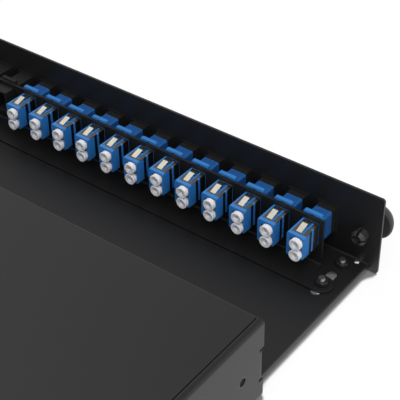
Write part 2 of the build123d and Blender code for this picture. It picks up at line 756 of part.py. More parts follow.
# Cable glands: a body through the rear wall, a locknut inside and a domed cap outside
rear_face_y = chassis_depth
for gland_x, name in zip(gland_xs, ("left", "right")):
    gland_axis = Axis((gland_x, 0, gland_height), (0, 1, 0))
    gland_plane = Plane(origin=(gland_x, 0, gland_height), x_dir=(1, 0, 0), z_dir=(0, 0, 1))
    hex_end_y = rear_face_y + gland_hex_length
    neck_end_y = hex_end_y + gland_neck_length
    with BuildPart() as gland_body:
        with BuildSketch(Plane.XZ.offset(-rear_face_y)):
            with Locations((gland_x, gland_height)):
                RegularPolygon(gland_hex / 2, 6, major_radius=False)
        extrude(amount=-gland_hex_length)
        with BuildSketch(Plane.XZ.offset(-rear_face_y)):
            with Locations((gland_x, gland_height)):
                Circle(gland_thread / 2)
        extrude(amount=gland_inner_length)
        with BuildSketch(Plane.XZ.offset(-hex_end_y)):
            with Locations((gland_x, gland_height)):
                Circle(gland_neck / 2)
        extrude(amount=-gland_neck_length)
        with BuildSketch(Plane.XZ.offset(-neck_end_y)):
            with Locations((gland_x, gland_height)):
                Circle(gland_bore / 2)
        extrude(amount=neck_end_y - rear_face_y + gland_inner_length, mode=Mode.SUBTRACT)
    gland_body.part.label = f"gland_body_{name}"
    export_step(gland_body.part, f"parts/gland_body_{name}.step")
    with BuildPart() as gland_locknut:
        with BuildSketch(Plane.XZ.offset(-(chassis_depth - sheet))):
            with Locations((gland_x, gland_height)):
                RegularPolygon(locknut_width / 2, 6, major_radius=False)
                Circle(gland_thread / 2 + thread_clearance, mode=Mode.SUBTRACT)
        extrude(amount=locknut_length)
    gland_locknut.part.label = f"gland_locknut_{name}"
    export_step(gland_locknut.part, f"parts/gland_locknut_{name}.step")
    with BuildPart() as gland_cap:
        with BuildSketch(gland_plane):
            with BuildLine():
                Polyline(
                    (gland_neck / 2 + thread_clearance, hex_end_y + thread_clearance),
                    (gland_hex / 2, hex_end_y + thread_clearance),
                    (gland_hex / 2, hex_end_y + dome_length / 2),
                    (dome_mouth / 2, hex_end_y + dome_length),
                    (gland_bore / 2, hex_end_y + dome_length),
                    (gland_bore / 2, neck_end_y + thread_clearance),
                    (gland_neck / 2 + thread_clearance, neck_end_y + thread_clearance),
                    close=True,
                )
            make_face()
        revolve(axis=gland_axis)
    gland_cap.part.label = f"gland_cap_{name}"
    export_step(gland_cap.part, f"parts/gland_cap_{name}.step")
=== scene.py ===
"""Dresses the packed fibre patch panel: finishes, and the fine pieces its solids leave plain."""

import json
import logging
import math
from dataclasses import dataclass
from enum import Enum
from typing import Iterable, Optional, Sequence, TypeVar, Union

import bmesh
import bpy
from bmesh.types import BMEdge, BMesh, BMFace, BMVert
from bpy.types import NodeSocket, NodeTree
from mathutils import Matrix, Vector


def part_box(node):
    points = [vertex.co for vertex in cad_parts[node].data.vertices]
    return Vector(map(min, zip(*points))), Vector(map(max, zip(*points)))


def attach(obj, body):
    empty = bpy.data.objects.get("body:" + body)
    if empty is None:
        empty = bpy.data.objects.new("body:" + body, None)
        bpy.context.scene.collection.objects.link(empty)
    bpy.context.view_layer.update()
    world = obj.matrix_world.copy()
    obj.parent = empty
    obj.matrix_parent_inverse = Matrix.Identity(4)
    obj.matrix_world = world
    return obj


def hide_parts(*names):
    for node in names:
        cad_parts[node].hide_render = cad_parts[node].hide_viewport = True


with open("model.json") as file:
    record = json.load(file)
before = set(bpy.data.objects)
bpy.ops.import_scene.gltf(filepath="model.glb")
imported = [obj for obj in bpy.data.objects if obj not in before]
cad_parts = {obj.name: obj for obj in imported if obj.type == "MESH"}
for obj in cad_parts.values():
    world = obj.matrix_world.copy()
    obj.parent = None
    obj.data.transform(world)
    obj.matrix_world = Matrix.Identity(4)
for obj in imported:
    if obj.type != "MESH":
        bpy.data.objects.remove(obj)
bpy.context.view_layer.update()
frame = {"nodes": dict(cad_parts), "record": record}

Element = TypeVar("Element", BMVert, BMEdge, BMFace)
Colour = tuple[float, float, float, float]
Place = tuple[float, float, float]
Point = tuple[float, float]

LOG = logging.getLogger("patch_panel")
MM = 0.001
# Heights that differ by less than this, in metres, are one height
NEAR = 1e-5
LOADED_POSITIONS = 12
SIDES = (-1, 1)
HEXAGON = 6
WHITE: Colour = (1.0, 1.0, 1.0, 1.0)
# A quarter turn that brings +Y to +Z
Y_TO_Z = Matrix.Rotation(math.pi / 2, 4, "X")
# Edges of new pieces that turn more than this stay sharp
SHARP_ANGLE = math.radians(40)

# The numbers of the mix node's sockets for colours
MIX_SHARE, MIX_FIRST, MIX_SECOND, MIX_RESULT = 0, 6, 7, 2
GRAIN_DETAIL = 3.0
MOTTLE_DETAIL = 2.0
EDGE_SAMPLES = 4
# Samples of the rounded normal that marks the painted edge highlights
EDGE_HIGHLIGHT_SAMPLES = 8
# Cosines at which a face starts to count as square to an axis, and counts fully, for the painted
# shade on level sheet
FLAT_SHADE_COSINES: Point = (0.98, 0.995)
# Cosines of the rounded normal's lean where the painted edge highlight is full, and where it is
# gone
EDGE_HIGHLIGHT_COSINES: Point = (0.9, 1.0)
# Light spreads equally far in red, green and blue, so that a milky surface takes no tint
EVEN_SPREAD: Place = (1.0, 1.0, 1.0)


class Body(Enum):
    """The moving bodies that pieces ride on."""

    CHASSIS = "chassis"
    DRAWER = "drawer"
    BRACKET = "bracket"


class Slot(Enum):
    """The material slots of the record."""

    PAINT = "black_paint"
    ZINC = "zinc_steel"
    BLACK_STEEL = "black_steel"
    RAIL = "rail_nylon"
    GLAND = "gland_nylon"
    ADAPTER = "adapter_blue"
    CLIP = "clip_steel"
    CAP = "cap_white"
    SLEEVE = "sleeve_ceramic"
    BLANK = "blank_plastic"
    LATCH = "latch_plastic"


class Grain(Enum):
    """How a finish's grain is drawn out, as a scale on each axis."""

    EVEN = (1.0, 1.0, 1.0)
    ALONG_X = (0.08, 1.0, 1.0)
    ALONG_Y = (1.0, 0.08, 1.0)


def linear(hex_colour: str) -> Colour:
    """Turns an sRGB hex colour to linear light.

    Args:
        hex_colour: six hex digits after a hash sign.

    Returns:
        Red, green, blue and an alpha of one.
    """
    channels = [int(hex_colour[place : place + 2], 16) / 255 for place in (1, 3, 5)]
    curve = [c / 12.92 if c <= 0.04045 else ((c + 0.055) / 1.055) ** 2.4 for c in channels]
    return (*curve, 1.0)


def empty_tree(holder: Union[bpy.types.Material, bpy.types.World]) -> NodeTree:
    """Gives a material or world a node tree with nothing in it.

    Args:
        holder: the material or world.

    Returns:
        The empty tree.
    """
    holder.use_nodes = True
    holder.node_tree.nodes.clear()
    return holder.node_tree


def add_node(
    tree: NodeTree, kind: str, inputs: Optional[dict] = None, **settings: object
) -> bpy.types.Node:
    """Adds a shader node.

    Args:
        tree: the material's or world's node tree.
        kind: the node's type name.
        inputs: values or sockets for its inputs, by name or number.
        settings: properties of the node itself.

    Returns:
        The new node.
    """
    made = tree.nodes.new(kind)
    for name, value in settings.items():
        setattr(made, name, value)
    for name, value in (inputs or {}).items():
        if isinstance(value, NodeSocket):
            tree.links.new(value, made.inputs[name])
        else:
            made.inputs[name].default_value = value
    return made


def calculate(
    tree: NodeTree, operation: str, first: NodeSocket, second: Union[NodeSocket, float]
) -> NodeSocket:
    """Works one number out of two.

    Args:
        tree: the node tree that it is used in.
        operation: the math node's operation.
        first: the first number.
        second: the second number.

    Returns:
        The result.
    """
    return add_node(tree, "ShaderNodeMath", {0: first, 1: second}, operation=operation).outputs[0]


def remap(
    tree: NodeTree,
    value: NodeSocket,
    before: Point = (0.0, 1.0),
    after: tuple[float, Union[NodeSocket, float]] = (0.0, 1.0),
) -> NodeSocket:
    """Carries a number from one range to another.

    Args:
        tree: the node tree that it is used in.
        value: the number.
        before: the range that it comes from.
        after: the range that it goes to.

    Returns:
        The number in its new range.
    """
    inputs = {
        "Value": value,
        "From Min": before[0],
        "From Max": before[1],
        "To Min": after[0],
        "To Max": after[1],
    }
    return add_node(tree, "ShaderNodeMapRange", inputs).outputs[0]


def mix_colours(
    tree: NodeTree, share: NodeSocket, first: Union[NodeSocket, Colour], second: Colour
) -> NodeSocket:
    """Mixes two colours.

    Args:
        tree: the node tree that it is used in.
        share: how much there is of the second colour.
        first: the first colour.
        second: the second colour.

    Returns:
        The mixed colour.
    """
    inputs = {MIX_SHARE: share, MIX_FIRST: first, MIX_SECOND: second}
    return add_node(tree, "ShaderNodeMix", inputs, data_type="RGBA").outputs[MIX_RESULT]


def noise(tree: NodeTree, place: NodeSocket, width_mm: float, detail: float) -> NodeSocket:
    """Draws a noise of a real size.

    Args:
        tree: the node tree that it is used in.
        place: the coordinates, in metres.
        width_mm: the width of one grain, in millimetres.
        detail: how many finer layers lie over it.

    Returns:
        The noise's factor.
    """
    inputs = {"Vector": place, "Scale": 1 / (width_mm * MM), "Detail": detail}
    return add_node(tree, "ShaderNodeTexNoise", inputs).outputs["Fac"]


def shown_rays(tree: NodeTree) -> NodeSocket:
    """Gives a factor that is one for camera, glossy and transmission rays.

    Args:
        tree: the node tree that it is used in.

    Returns:
        The factor's socket.
    """
    path = add_node(tree, "ShaderNodeLightPath").outputs
    mirrored = calculate(tree, "MAXIMUM", path["Is Camera Ray"], path["Is Glossy Ray"])
    return calculate(tree, "MAXIMUM", mirrored, path["Is Transmission Ray"])


@dataclass(frozen=True)
class Finish:
    """A surface finish, with a grain and a mottle whose sizes are real ones in millimetres.

    Attributes:
        name: the material's name.
        colour: the surface's colour, as sRGB hex.
        shade: the colour that the mottle drifts to.
        roughness: the mean roughness.
        roughness_spread: how far the grain moves the roughness either way.
        grain_mm: the width of one grain.
        grain_depth_mm: the height of the grain in the bump.
        mottle_mm: the width of the slow drift of colour.
        edge_mm: the radius of the broken edges.
        metallic: one for bare metal.
        ior: the refractive index of a plastic or paint.
        run: the direction that the grain is drawn out in.
        subsurface: how much light passes into the surface.
        subsurface_mm: how far that light spreads.
        flat_shade: the colour of the painted shade on sheet that lies level or faces the sides,
            leaving the bends bright.
        front: the colour of the painted shade over a moulding's front shell, which keeps a
            painted highlight along its edges.
        front_mm: how far forward of the origin the painted shade on the front shell starts.
        edge_highlight_mm: the width of the painted edge highlights.
    """

    name: str
    colour: str
    shade: str
    roughness: float
    roughness_spread: float
    grain_mm: float
    grain_depth_mm: float
    mottle_mm: float
    edge_mm: float = 0.15
    metallic: float = 0.0
    ior: float = 1.5
    run: Grain = Grain.EVEN
    subsurface: float = 0.0
    subsurface_mm: float = 1.0
    flat_shade: Optional[str] = None
    front: Optional[str] = None
    front_mm: float = 0.0
    edge_highlight_mm: float = 0.6

    def build(self) -> bpy.types.Material:
        """Makes the material, with its patterns on object coordinates.

        Returns:
            The finished material.
        """
        material = bpy.data.materials.new(self.name)
        tree = empty_tree(material)
        place = add_node(tree, "ShaderNodeTexCoord").outputs["Object"]
        drawn = add_node(tree, "ShaderNodeMapping", {"Vector": place, "Scale": self.run.value})
        grain = noise(tree, drawn.outputs[0], self.grain_mm, GRAIN_DETAIL)
        drift = noise(tree, place, self.mottle_mm, MOTTLE_DETAIL)
        colour = mix_colours(tree, drift, linear(self.colour), linear(self.shade))
        # Painted shade on the sheet that lies level or faces the sides
        if self.flat_shade:
            colour = self._paint_shade_on_flats(tree, colour)
        # Painted shade over the front shell, with a painted highlight left along its edges
        if self.front:
            colour = self._paint_front_shade(tree, place, colour)
        smoothest = self.roughness - self.roughness_spread
        roughest = self.roughness + self.roughness_spread
        edge = add_node(
            tree, "ShaderNodeBevel", {"Radius": self.edge_mm * MM}, samples=EDGE_SAMPLES
        )
        bump = add_node(
            tree,
            "ShaderNodeBump",
            {
                "Height": grain,
                "Distance": self.grain_depth_mm * MM,
                "Normal": edge.outputs["Normal"],
            },
        )
        shader = add_node(
            tree,
            "ShaderNodeBsdfPrincipled",
            {
                "Base Color": colour,
                "Roughness": remap(tree, grain, after=(smoothest, roughest)),
                "Normal": bump.outputs["Normal"],
                "Metallic": self.metallic,
                "IOR": self.ior,
                "Subsurface Weight": self.subsurface,
                "Subsurface Radius": EVEN_SPREAD,
                "Subsurface Scale": self.subsurface_mm * MM,
            },
        )
        add_node(tree, "ShaderNodeOutputMaterial", {"Surface": shader.outputs[0]})
        return material

    def _paint_shade_on_flats(self, tree: NodeTree, colour: NodeSocket) -> NodeSocket:
        """Paints shade on the faces that lie level, or face the sides, so that only the bends and
        the raised tongue stay bright.

        Args:
            tree: the material's nodes.
            colour: the colour of the bends and of the raised tongue.

        Returns:
            The colour of the whole sheet.
        """
        facing = add_node(tree, "ShaderNodeNewGeometry").outputs["True Normal"]
        size = add_node(tree, "ShaderNodeVectorMath", {0: facing}, operation="ABSOLUTE")
        parts = add_node(tree, "ShaderNodeSeparateXYZ", {0: size.outputs[0]}).outputs
        squarest = calculate(tree, "MAXIMUM", parts["X"], parts["Z"])
        # Faces square to X or Z take the painted shade; the tilted tongue and the bends keep the
        # bright colour
        return mix_colours(tree, remap(tree, squarest, FLAT_SHADE_COSINES), colour, linear(self.flat_shade))

    def _paint_front_shade(self, tree: NodeTree, place: NodeSocket, colour: NodeSocket) -> NodeSocket:
        """Paints shade over the front shell of a moulding, and leaves a painted highlight along
        its edges.

        Args:
            tree: the material's nodes.
            place: the object coordinates.
            colour: the colour of the rear shell.

        Returns:
            The colour of the whole moulding.
        """
        along = add_node(tree, "ShaderNodeSeparateXYZ", {0: place}).outputs["Y"]
        ahead = calculate(tree, "LESS_THAN", along, -self.front_mm * MM)
        facing = add_node(tree, "ShaderNodeNewGeometry").outputs["True Normal"]
        rounded = add_node(
            tree, "ShaderNodeBevel", {"Radius": self.edge_highlight_mm * MM}, samples=EDGE_HIGHLIGHT_SAMPLES
        )
        turned = add_node(
            tree,
            "ShaderNodeVectorMath",
            {0: facing, 1: rounded.outputs["Normal"]},
            operation="DOT_PRODUCT",
        )
        # Share of painted shade: full on the front shell, gone at its edges, which keep the
        # painted highlight
        inside = remap(tree, turned.outputs["Value"], EDGE_HIGHLIGHT_COSINES, (0.0, ahead))
        return mix_colours(tree, inside, colour, linear(self.front))


FINISHES: dict[Slot, Finish] = {
    # Satin powder coat: nearly black, with a fine orange peel that softens what it reflects
    Slot.PAINT: Finish(
        name="satin_powder_coat",
        colour="#131314",
        shade="#171718",
        roughness=0.43,
        roughness_spread=0.06,
        grain_mm=0.9,
        grain_depth_mm=0.006,
        mottle_mm=120.0,
        edge_mm=0.25,
        ior=1.46,
    ),
    # Bright zinc on rolled threads and formed heads, a little clouded
    Slot.ZINC: Finish(
        name="bright_zinc_plate",
        colour="#c9c8c2",
        shade="#b3b1a9",
        roughness=0.3,
        roughness_spread=0.08,
        grain_mm=0.4,
        grain_depth_mm=0.004,
        mottle_mm=3.0,
        edge_mm=0.1,
        metallic=1.0,
    ),
    # Blackened nuts, screws and inserts, with a dull oiled sheen
    Slot.BLACK_STEEL: Finish(
        name="blackened_steel",
        colour="#161617",
        shade="#1e1e1f",
        roughness=0.38,
        roughness_spread=0.08,
        grain_mm=0.35,
        grain_depth_mm=0.004,
        mottle_mm=2.5,
        edge_mm=0.12,
    ),
    # Extruded nylon, matt, with fine draw lines along the rail
    Slot.RAIL: Finish(
        name="extruded_nylon",
        colour="#141415",
        shade="#19191a",
        roughness=0.55,
        roughness_spread=0.06,
        grain_mm=0.3,
        grain_depth_mm=0.006,
        mottle_mm=20.0,
        run=Grain.ALONG_Y,
    ),
    # Moulded nylon with a spark-eroded texture
    Slot.GLAND: Finish(
        name="moulded_gland_nylon",
        colour="#161617",
        shade="#1b1b1c",
        roughness=0.5,
        roughness_spread=0.08,
        grain_mm=0.35,
        grain_depth_mm=0.012,
        mottle_mm=15.0,
    ),
    # Moulded blue housing, semi-gloss: painted shade darkens the front shell, apart from a
    # painted highlight along its edges
    Slot.ADAPTER: Finish(
        name="moulded_blue_housing",
        colour="#2f78bf",
        shade="#286db2",
        roughness=0.34,
        roughness_spread=0.05,
        grain_mm=0.4,
        grain_depth_mm=0.004,
        mottle_mm=6.0,
        edge_mm=0.2,
        subsurface=0.06,
        subsurface_mm=0.6,
        # Colour of the painted shade over the front shell
        front="#1c4f8c",
        front_mm=81.7,
    ),
    # Rolled spring steel with lines across the clip: painted shade on the sheet that lies level
    # or faces the sides, bright where it is bent or raised
    Slot.CLIP: Finish(
        name="rolled_spring_steel",
        colour="#cfcabd",
        shade="#bdb7a8",
        roughness=0.3,
        roughness_spread=0.08,
        grain_mm=0.25,
        grain_depth_mm=0.003,
        mottle_mm=4.0,
        edge_mm=0.08,
        metallic=1.0,
        run=Grain.ALONG_X,
        # Colour of the painted shade on sheet that lies level or faces the sides
        flat_shade="#7d7870",
    ),
    # Soft milky polyethylene: light passes into the rim
    Slot.CAP: Finish(
        name="milky_polyethylene",
        colour="#d6d7db",
        shade="#cdced3",
        roughness=0.42,
        roughness_spread=0.05,
        grain_mm=0.5,
        grain_depth_mm=0.004,
        mottle_mm=3.0,
        edge_mm=0.1,
        subsurface=0.4,
        subsurface_mm=0.8,
    ),
    # Ground and polished zirconia, glossy and warm white
    Slot.SLEEVE: Finish(
        name="polished_zirconia",
        colour="#ecebe4",
        shade="#e4e2da",
        roughness=0.15,
        roughness_spread=0.03,
        grain_mm=0.3,
        grain_depth_mm=0.001,
        mottle_mm=3.0,
        edge_mm=0.05,
    ),
    # Moulded black plug, matt and darker than the paint
    Slot.BLANK: Finish(
        name="moulded_black_plug",
        colour="#0f0f10",
        shade="#151516",
        roughness=0.55,
        roughness_spread=0.06,
        grain_mm=0.4,
        grain_depth_mm=0.006,
        mottle_mm=8.0,
    ),
    # Moulded nylon latch, matt on the knob
    Slot.LATCH: Finish(
        name="moulded_latch_nylon",
        colour="#232324",
        shade="#29292a",
        roughness=0.5,
        roughness_spread=0.06,
        grain_mm=0.3,
        grain_depth_mm=0.006,
        mottle_mm=6.0,
    ),
}


def take_mesh(name: str, shape: BMesh) -> bpy.types.Mesh:
    """Turns a bmesh into a mesh.

    Args:
        name: the mesh's name.
        shape: the finished bmesh, which is freed.

    Returns:
        The mesh.
    """
    mesh = bpy.data.meshes.new(name)
    shape.to_mesh(mesh)
    shape.free()
    return mesh


def put_in_scene(name: str, data: bpy.types.ID) -> bpy.types.Object:
    """Makes an object and links it to the scene.

    Args:
        name: the object's name.
        data: its mesh, lamp or lens.

    Returns:
        The object.
    """
    made = bpy.data.objects.new(name, data)
    bpy.context.scene.collection.objects.link(made)
    return made


class Dresser:
    """Holds the finished materials and gives them to nodes and pieces."""

    def __init__(self, finishes: dict[Slot, Finish]) -> None:
        """Builds one material for each slot."""
        self.materials = {slot: finish.build() for slot, finish in finishes.items()}

    def dress_nodes(self) -> None:
        """Gives each CAD node the material of its slot in the record."""
        for entry in frame["record"]["subparts"]:
            node = frame["nodes"][entry["node"]]
            material = self.materials[Slot(entry["material_slot"])]
            if not node.material_slots:
                node.data.materials.append(material)
            for place in node.material_slots:
                place.material = material

    def add_piece(
        self, name: str, shape: BMesh, slot: Slot, body: Body, replaced: Sequence[str] = ()
    ) -> bpy.types.Object:
        """Turns a finished bmesh into a piece that rides on a body.

        Args:
            name: the piece's name.
            shape: the finished bmesh, which is freed.
            slot: the slot whose finish it takes.
            body: the body that it rides on.
            replaced: CAD nodes that it stands for.

        Returns:
            The new object.
        """
        bmesh.ops.recalc_face_normals(shape, faces=shape.faces)
        mesh = take_mesh(name, shape)
        mesh.polygons.foreach_set("use_smooth", [True] * len(mesh.polygons))
        mesh.set_sharp_from_angle(angle=SHARP_ANGLE)
        mesh.materials.append(self.materials[slot])
        piece = put_in_scene(name, mesh)
        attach(piece, body.value)
        if replaced:
            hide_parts(*replaced)
        LOG.info("%s: %d faces", name, len(mesh.polygons))
        return piece


def picked(made: Iterable[object], kind: type[Element]) -> list[Element]:
    """Picks the elements of one kind out of what an operator made.

    Args:
        made: vertices, edges and faces.
        kind: the kind that is wanted.

    Returns:
        The elements of that kind.
    """
    return [element for element in made if isinstance(element, kind)]


def box_of(corners: Sequence[Vector]) -> tuple[Vector, Vector]:
    """Finds the box round some corners.

    Args:
        corners: the corners.

    Returns:
        The box's low and high corner.
    """
    low = Vector([min(corner[axis] for corner in corners) for axis in range(3)])
    high = Vector([max(corner[axis] for corner in corners) for axis in range(3)])
    return low, high


def solid_sides(node: str) -> list[list[Vector]]:
    """Parts the corners of a node's solids by the side of the panel that they stand on.

    Args:
        node: the CAD node.

    Returns:
        One list of corners for each side that has any.
    """
    corners = [vertex.co for vertex in frame["nodes"][node].data.vertices]
    sides = [[corner for corner in corners if corner.x * side > 0] for side in SIDES]
    return [side for side in sides if side]


def arc(centre: Point, radius: float, start: float, end: float, steps: int) -> list[Point]:
    """Gives points along an arc of a profile.

    Args:
        centre: the arc's centre.
        radius: its radius.
        start: the first angle in degrees.
        end: the last angle in degrees.
        steps: how many pieces it is divided into.

    Returns:
        The points from start to end.
    """
    turns = [math.radians(start + (end - start) * step / steps) for step in range(steps + 1)]
    return [(centre[0] + radius * math.cos(t), centre[1] + radius * math.sin(t)) for t in turns]


def draw_section(
    shape: BMesh, outline: Sequence[Point], seat: Matrix, closed: bool = True
) -> tuple[list[BMVert], list[BMEdge]]:
    """Draws the section of a turned form, on one side of a seat's Y axis.

    Args:
        shape: the bmesh that takes the section.
        outline: radius and distance along the axis, in millimetres.
        seat: the place of the axis, in metres.
        closed: whether the last point is joined to the first.

    Returns:
        The section's vertices and its edges.
    """
    ring = [shape.verts.new(seat @ Vector((r * MM, along * MM, 0))) for r, along in outline]
    ends = ring[1:] + ring[:1] if closed else ring[1:]
    return ring, [shape.edges.new(pair) for pair in zip(ring, ends)]


def spin(
    shape: BMesh,
    section: Sequence[Union[BMVert, BMEdge]],
    seat: Matrix,
    steps: int,
    turns: float = 1.0,
    pitch: float = 0.0,
) -> list[Union[BMVert, BMEdge]]:
    """Spins a section round the Y axis of a seat.

    Args:
        shape: the bmesh that takes the new faces.
        section: the section's vertices and edges.
        seat: the place of the axis, in metres.
        steps: how many faces go round in one turn.
        turns: how many turns there are.
        pitch: the advance of one turn, in millimetres. Without any, the end joins the start.

    Returns:
        The section at the end.
    """
    axis = seat.to_3x3() @ Vector((0, 1, 0))
    return bmesh.ops.spin(
        shape,
        geom=section,
        cent=seat.translation,
        axis=axis,
        dvec=axis * (pitch * MM / steps),
        angle=math.tau * turns,
        steps=round(steps * turns),
        use_merge=pitch == 0,
        use_duplicate=False,
    )["geom_last"]


@dataclass(frozen=True)
class Thread:
    """The ridge of a thread, with its sizes in millimetres.

    Attributes:
        root: the radius at the root.
        crest: the radius at the crest.
        pitch: the advance of one turn.
        length: the threaded length.
        foot: the shares of the pitch between which the ridge stands.
        crown: the shares of the pitch between which its crest is level.
        steps: how many faces go round in one turn.
    """

    root: float
    crest: float
    pitch: float
    length: float
    foot: Point = (0.02, 0.98)
    crown: Point = (0.45, 0.55)
    steps: int = 20

    def wind(self, shape: BMesh, seat: Matrix) -> None:
        """Winds the ridge round the Y axis of a seat, and closes its ends.

        Args:
            shape: the bmesh that takes the new faces.
            seat: the place of the thread's start, in metres.
        """
        outline = [
            (self.root, self.foot[0] * self.pitch),
            (self.crest, self.crown[0] * self.pitch),
            (self.crest, self.crown[1] * self.pitch),
            (self.root, self.foot[1] * self.pitch),
        ]
        ring, edges = draw_section(shape, outline, seat)
        turns = self.length / self.pitch - 1
        last = spin(shape, ring + edges, seat, self.steps, turns, self.pitch)
        for end in (edges, picked(last, BMEdge)):
            bmesh.ops.contextual_create(shape, geom=end)


@dataclass
class DustCaps:
    """The flared dust caps of one adapter, in place of their plain solids.

    Attributes:
        number: the adapter's number.
        reach: how far a cap stands out of the adapter, in millimetres.
        stem_radius: the radius of the stem in the port.
        stem_length: the length of the stem in the port.
        stem_chamfer: the chamfer at the end of the stem.
        neck_radius: the radius where the flare meets the adapter.
        flare_arc: the angles between which the flare curves, in degrees.
        flare_steps: faces along the flare.
        lip: the radius of the rolled rim.
        lip_arc: the angles between which the rim is rolled, in degrees.
        lip_steps: faces along the rolled rim.
        lip_share: how much of the rim's radius lies over the dish.
        dish_depth: the depth of the dished face.
        dish_shares: points of the dish, as shares of its width and of its depth.
        eye_radius: the radius of the small hole in the dish.
        eye_flare: how far that hole widens at its mouth.
        eye_mouth: the length that it widens over.
        steps: faces round a cap.
    """

    number: int
    reach: float = 3.1
    stem_radius: float = 2.2
    stem_length: float = 5.0
    stem_chamfer: float = 0.3
    neck_radius: float = 2.3
    flare_arc: Point = (-95, -175)
    flare_steps: int = 5
    lip: float = 0.5
    lip_arc: Point = (-135, 60)
    lip_steps: int = 8
    lip_share: float = 0.7
    dish_depth: float = 0.95
    dish_shares: tuple[Point, ...] = ((0.3, 0.62), (0.55, 0.24), (0.75, 0.15))
    eye_radius: float = 0.6
    eye_flare: float = 0.12
    eye_mouth: float = 0.5
    steps: int = 32

    def profile(self, rim: float) -> list[Point]:
        """Gives the cap's outline, from the face at zero into the port.

        Args:
            rim: the radius over the rim, in millimetres.

        Returns:
            Radius and depth points round the closed outline.
        """
        middle = rim - self.lip
        rolled = arc((middle, self.lip), self.lip, *self.lip_arc, self.lip_steps)
        flare = arc((rim, self.reach), rim - self.neck_radius, *self.flare_arc, self.flare_steps)
        end = self.reach + self.stem_length
        stem = [
            (self.stem_radius, self.reach),
            (self.stem_radius, end - self.stem_chamfer),
            (self.stem_radius - self.stem_chamfer, end),
            (self.eye_radius, end),
        ]
        eye = [
            (self.eye_radius, self.dish_depth + self.eye_mouth),
            (self.eye_radius + self.eye_flare, self.dish_depth),
        ]
        bowl = middle - self.lip_share * self.lip - self.eye_radius
        dish = [
            (self.eye_radius + out * bowl, deep * self.dish_depth)
            for out, deep in self.dish_shares
        ]
        return rolled + flare + stem + eye + dish

    def build(self, dresser: Dresser) -> bpy.types.Object:
        """Builds the caps in the rear of the adapter's two ports.

        Args:
            dresser: gives the finish.

        Returns:
            The piece.
        """
        node = f"dust_caps_{self.number}"
        low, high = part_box(node)
        rim = (high.x - low.x) / 2
        across = (low.x + high.x) / 2
        outline = self.profile(rim / MM)
        about_face = Matrix.Rotation(math.pi, 4, "Z")
        shape = bmesh.new()
        for height in (low.z + rim, high.z - rim):
            seat = Matrix.Translation((across, high.y, height)) @ about_face
            ring, edges = draw_section(shape, outline, seat)
            spin(shape, ring + edges, seat, self.steps)
        name = f"flared_caps_{self.number}"
        return dresser.add_piece(name, shape, Slot.CAP, Body.BRACKET, [node])


@dataclass
class ThreadedEnds:
    """Rolled threads on the upright bolts, which are plain in the solids.

    Attributes:
        node: the bolts' CAD node.
        body: the body that the bolts ride on.
        shown: the length of thread at the tip, in millimetres.
        pitch: the advance of one turn.
        height: how far the crests stand out from the shank.
        sunk: how far the roots lie under the shank's surface.
        tip_depth: how far down from the tip its corners are looked for.
    """

    node: str
    body: Body
    shown: float = 4.0
    pitch: float = 0.5
    height: float = 0.1
    sunk: float = 0.05
    tip_depth: float = 0.1

    def build(self, dresser: Dresser) -> bpy.types.Object:
        """Winds a thread round the tip of each bolt of the node.

        Args:
            dresser: gives the finish.

        Returns:
            The piece.
        """
        shape = bmesh.new()
        for corners in solid_sides(self.node):
            top = max(corner.z for corner in corners)
            tip = [corner for corner in corners if corner.z > top - self.tip_depth * MM]
            low, high = box_of(tip)
            radius = (high.x - low.x) / 2 / MM
            start = ((low.x + high.x) / 2, (low.y + high.y) / 2, top - self.shown * MM)
            thread = Thread(radius - self.sunk, radius + self.height, self.pitch, self.shown)
            thread.wind(shape, Matrix.Translation(start) @ Y_TO_Z)
        return dresser.add_piece(f"{self.node}_thread", shape, Slot.ZINC, self.body)


